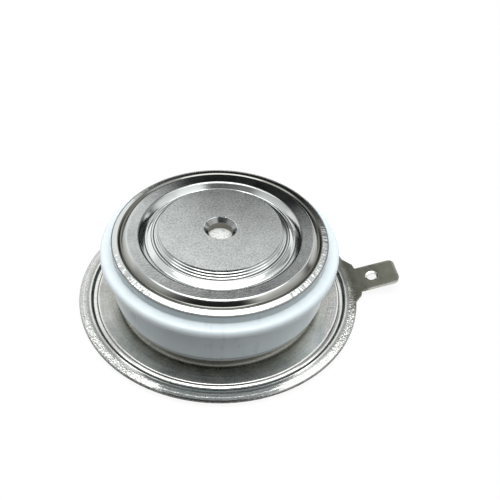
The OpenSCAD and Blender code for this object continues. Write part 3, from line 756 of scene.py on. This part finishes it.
SMALL_PIECES = [
    # finish, colour, metallic, roughness, share of lines, size of the marks, their amount, and the nodes
    ("terminal_tin", (0.66, 0.67, 0.65), 1.0, 0.28, 1.0, 0.16, 0.2, ["gate_terminal", "gate_eyelet"]),
    ("gate_gold", (0.83, 0.62, 0.28), 1.0, 0.24, 0.6, 0.12, 0.2, ["gate_spring", "gate_pin", "gate_lead"]),
    ("silicon", (0.13, 0.13, 0.15), 0.7, 0.14, 0.3, 0.5, 0.2, ["silicon_wafer"]),
    ("molybdenum", (0.47, 0.47, 0.48), 1.0, 0.34, 1.0, 0.15, 0.25, ["anode_disc", "cathode_disc"]),
    ("silicone", (0.42, 0.09, 0.06), 0.0, 0.45, 0.2, 0.4, 0.25, ["edge_seal"]),
    ("insulation", (0.80, 0.77, 0.68), 0.0, 0.48, 0.6, 0.3, 0.08,
     ["insulating_liner", "gate_insulator", "lead_sleeve"]),
]
for *recipe, names in SMALL_PIECES:
    dress(simple_finish(*recipe), *names)

# %% [markdown]
# ## Brazed and welded seams
# Each joint between the pieces leaves a thin bead of solder. A bead could be a torus, but then every bead
# has the same round section. Here a small ring of points is drawn where the joint is, as wide and as high as
# the bead, and spun once round the axis. A noise then moves its skin a little, since no bead of solder is
# quite even. The widest one, under the ceramic, is a dull grey fillet.

# %% Spun beads
BEAD_POINTS = 16
BEAD_STEPS = 160


def spun_bead(name, across, height, half_width, half_height, slot,
              angle=0.0, centre=(0, 0, 0), axis=(0, 0, 1)):
    """A bead, in millimetres: its section stands upright at an angle, and is spun round an axis."""
    bpy.ops.object.select_all(action="DESELECT")
    spot = Vector((across * cos(angle), across * sin(angle), height)) * MM
    upright = (pi / 2, 0, angle)
    bpy.ops.mesh.primitive_circle_add(
        vertices=BEAD_POINTS, radius=half_width * MM, location=spot, rotation=upright,
    )
    bead = bpy.context.object
    bead.name = name
    bpy.ops.object.transform_apply()
    bpy.ops.object.mode_set(mode="EDIT")
    bpy.ops.mesh.select_all(action="SELECT")
    bpy.ops.transform.resize(value=(1, 1, half_height / half_width), center_override=spot)
    bpy.ops.mesh.spin(steps=BEAD_STEPS, angle=2 * pi, center=Vector(centre) * MM, axis=axis)
    bpy.ops.mesh.select_all(action="SELECT")
    bpy.ops.mesh.remove_doubles(threshold=MM / 1000)
    bpy.ops.mesh.normals_make_consistent(inside=False)
    bpy.ops.object.mode_set(mode="OBJECT")
    bpy.ops.object.shade_smooth()
    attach(bead, "root")
    print(name, len(bead.data.polygons), "faces")
    return bead


# %% Uneven skin
def uneven_skin(bead, size, amount):
    """Moves the skin of a bead in and out by a noise of some size and amount, in millimetres."""
    noise = bpy.data.textures.new(bead.name, "CLOUDS")
    noise.noise_scale = size * MM
    bpy.ops.object.modifier_add(type="DISPLACE")
    skin = bead.modifiers[0]
    skin.texture = noise
    skin.strength = amount * MM
    skin.texture_coords = "LOCAL"
    bpy.ops.object.modifier_apply(modifier=skin.name)
    print(bead.name, "moved by", amount, "mm")


# %% Seams of the case
cap_low_z = min(z for r, z in profile("anode_diaphragm") if r > cap_r - 0.1)
hub_z = max(z for r, z in profile("anode_diaphragm") if r < hub_r + 0.05)
lid_hub_z = min(z for r, z in profile("cathode_lid") if r < hub_r + 0.05)
lid_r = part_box("cathode_lid")[1].y / MM
lid_edge_z = max(z for r, z in profile("cathode_lid") if r > lid_r - 0.1)

grey_fillet = simple_finish("grey_fillet", (0.52, 0.56, 0.57), 0.0, 0.45, 0.4, 0.3, 0.2)
dark_braze = simple_finish("dark_braze", (0.13, 0.13, 0.12), 1.0, 0.35, 0.4, 0.25, 0.4)
weld_grey = simple_finish("weld_grey", (0.30, 0.30, 0.29), 1.0, 0.38, 0.4, 0.25, 0.4)
CASE_SEAMS = [
    # name, radius and height, half its width and height, size and amount of the noise, finish
    ("sleeve_braze", sleeve_r + 0.10, ceramic_low_z - 0.58, 0.75, 0.60, 1.2, 0.06, grey_fillet),
    ("rim_braze", cap_r - 0.07, cap_low_z, 0.10, 0.07, 0.8, 0.03, weld_grey),
    ("anode_pole_braze", hub_r, hub_z, 0.10, 0.07, 0.6, 0.03, dark_braze),
    ("cathode_pole_braze", hub_r, lid_hub_z, 0.10, 0.07, 0.6, 0.03, dark_braze),
    ("edge_weld", lid_r, lid_edge_z, 0.13, 0.10, 0.4, 0.06, weld_grey),
]
for name, across, height, half_width, half_height, size, amount, finish in CASE_SEAMS:
    bead = spun_bead(name, across, height, half_width, half_height, "sheet_plating")
    uneven_skin(bead, size, amount)
    bead.data.materials.append(finish)

# %% Seams of the gate terminal
gate_way = Vector(mounts["gate_pin_terminal"]["axis"])
gate_angle = atan2(gate_way.y, gate_way.x)
gate_foot = Vector((0, 0, mounts["gate_pin_terminal"]["pos_m"][2]))
gate_z = gate_foot.z / MM
eyelet = [v.co - gate_foot for v in nodes["gate_eyelet"].data.vertices]
eyelet = [(p.dot(gate_way) / MM, p.cross(gate_way).length / MM) for p in eyelet]
eyelet_end = max(along for along, off in eyelet)
neck_r = max(off for along, off in eyelet if along > eyelet_end - 0.05)
base_r = max(off for along, off in eyelet)
base_end = max(along for along, off in eyelet if off > base_r - 0.05)

silver_braze = simple_finish("silver_braze", (0.60, 0.58, 0.52), 1.0, 0.30, 0.4, 0.25, 0.3)
GATE_BEAD = (0.07, 0.10)
GATE_SEAMS = [("eyelet_braze", base_end, base_r), ("terminal_braze", eyelet_end, neck_r - 0.12)]
for name, along, off in GATE_SEAMS:
    bead = spun_bead(name, along, gate_z + off, *GATE_BEAD, "terminal_plating",
                     gate_angle, (0, 0, gate_z), gate_way)
    uneven_skin(bead, 0.4, 0.03)
    bead.data.materials.append(silver_braze)

# %% [markdown]
# ## Floor and light
# The object lies on a white table, under a large soft lamp with a brighter core. Polished metal mirrors the
# room, so the room matters as much as the lamp: it is grey, with bright patches to the left, to the right
# and behind the object, and dark ones straight behind it and where the camera stands. They give the metal
# its bright bands and its dark lines. The walls could be built as planes; soft patches on the world are
# quicker to move. To the camera and in reflections the table is white, it still keeps the object's shadow,
# and the camera sees white beyond it.

# %% Floor
FLOOR_RADIUS = 6
FLOOR_POINTS = 96
FLOOR_GAP = 0.02
FLOOR_GLOW = 0.9
PAPER_SEEN = 0.95
PAPER_BOUNCE = 0.12

bpy.ops.object.select_all(action="DESELECT")
below = (0, 0, -FLOOR_GAP * MM)
bpy.ops.mesh.primitive_circle_add(
    vertices=FLOOR_POINTS, radius=FLOOR_RADIUS, fill_type="NGON", location=below,
)
floor = bpy.context.object
floor.name = "floor"
floor_white = bpy.data.materials.new("floor_white")
floor_white.use_nodes = True
tree = floor_white.node_tree
tree.nodes.clear()
rays = add(tree, "LightPath").outputs
seen = math(tree, "MAXIMUM", rays["Is Camera Ray"], rays["Is Glossy Ray"])
seen = math(tree, "MAXIMUM", seen, rays["Is Transmission Ray"])
paper = add(tree, "BsdfDiffuse", {"Color": blend(tree, seen, PAPER_BOUNCE, PAPER_SEEN)})
glow = add(tree, "Emission", {"Color": (1, 1, 1, 1), "Strength": 1.0})
share = math(tree, "MULTIPLY", seen, FLOOR_GLOW)
both = add(tree, "MixShader", {0: share, 1: paper.outputs[0], 2: glow.outputs[0]})
add(tree, "OutputMaterial", {"Surface": both.outputs[0]})
floor.data.materials.append(floor_white)
print("floor radius", FLOOR_RADIUS, "m")


# %% Patches of the room
def toward(azimuth, elevation):
    """A direction in degrees, as the camera sees it: azimuth 0 is behind the object, 90 to its right."""
    a, e = radians(azimuth), radians(elevation)
    return turn @ Vector((sin(a) * cos(e), cos(a) * cos(e), sin(e)))


ROOM_LEVEL = 0.23
ROOM_PATCHES = [
    # azimuth, elevation, degrees of the full patch, degrees to its edge, level
    (-72, 25, 36, 56, 0.75),
    (-24, -15, 58, 68, 1.06),
    (115, 28, 26, 44, 0.95),
    (130, 44, 8, 20, 1.20),
    (36, 46, 12, 24, 0.90),
    (4, 50, 3, 9, 0.20),
    (50, 6, 14, 24, 1.10),
    (6, 14, 20, 28, 0.10),
    (180, 6, 36, 52, 0.04),
]
print("room patches:", len(ROOM_PATCHES))

# %% Room
world = bpy.data.worlds.new("studio")
bpy.context.scene.world = world
world.use_nodes = True
tree = world.node_tree
tree.nodes.clear()
direction = add(tree, "TexCoord").outputs["Generated"]
level = ROOM_LEVEL
for azimuth, elevation, inner, outer, patch_level in ROOM_PATCHES:
    across = {0: direction, 1: toward(azimuth, elevation)}
    facing = add(tree, "VectorMath", across, operation="DOT_PRODUCT").outputs["Value"]
    share = ease(tree, facing, cos(radians(outer)), cos(radians(inner)))
    level = blend(tree, share, level, patch_level)
level = blend(tree, add(tree, "LightPath").outputs["Is Camera Ray"], level, 1.0)
sky = add(tree, "Background", {"Color": level, "Strength": 1.0})
add(tree, "OutputWorld", {"Surface": sky.outputs[0]})
print("room:", len(tree.nodes), "nodes")


# %% Lamps
def softbox(name, azimuth, elevation, distance, size, level):
    """A round area lamp of some brightness that faces the object."""
    data = bpy.data.lights.new(name, "AREA")
    data.shape = "DISK"
    data.size = size
    data.energy = level * pi * pi * (size / 2) ** 2
    lamp = bpy.data.objects.new(name, data)
    bpy.context.scene.collection.objects.link(lamp)
    away = toward(azimuth, elevation)
    lamp.location = away * distance
    lamp.rotation_mode = "QUATERNION"
    lamp.rotation_quaternion = away.to_track_quat("Z", "Y")
    print(name, round(data.energy, 2), "W")


OVERHEAD = (180, 89)
softbox("wide_softbox", *OVERHEAD, 0.6, 0.8, 1.35)
softbox("core_softbox", *OVERHEAD, 0.59, 0.38, 3.0)

# %% [markdown]
# ## A dark card
# In a studio, a dark card is stood beside shiny metal to give it depth. Here one stands close behind the
# object, and darkens the back of the rings and of the contact face while their front stays bright. A patch
# on the world could not do that, because it is as far from the back as from the front. Only reflections see
# the card, and its edge is soft.

# %% Dark card
CARD_POINTS = 64
CARD_PLACE = Vector((5, 23.5, 18))
CARD_RADIUS = 22
CARD_CORE = 10
CARD_TONE = 0.05

card_spot = turn @ CARD_PLACE * MM
bpy.ops.object.select_all(action="DESELECT")
bpy.ops.mesh.primitive_circle_add(
    vertices=CARD_POINTS, radius=CARD_RADIUS * MM, fill_type="NGON",
    location=card_spot, rotation=(pi / 2, 0, -TAB_TURN),
)
card = bpy.context.object
card.name = "dark_card"
bpy.ops.object.transform_apply()
card_black = bpy.data.materials.new("card_black")
card_black.use_nodes = True
tree = card_black.node_tree
tree.nodes.clear()
clear = add(tree, "BsdfTransparent")
black = add(tree, "BsdfDiffuse", {"Color": (CARD_TONE, CARD_TONE, CARD_TONE, 1)})
ends = {0: add(tree, "TexCoord").outputs["Object"], 1: card_spot}
out = add(tree, "VectorMath", ends, operation="DISTANCE").outputs["Value"]
soft = ease(tree, out, CARD_CORE * MM, CARD_RADIUS * MM, 1.0, 0.0)
share = math(tree, "MULTIPLY", add(tree, "LightPath").outputs["Is Glossy Ray"], soft)
both = add(tree, "MixShader", {0: share, 1: clear.outputs[0], 2: black.outputs[0]})
add(tree, "OutputMaterial", {"Surface": both.outputs[0]})
card.data.materials.append(card_black)
print("card radius", CARD_RADIUS, "mm")

# %% [markdown]
# ## Finishing
# The colours are shown with the Standard view transform.

# %% Finish
bpy.context.scene.view_settings.view_transform = "Standard"
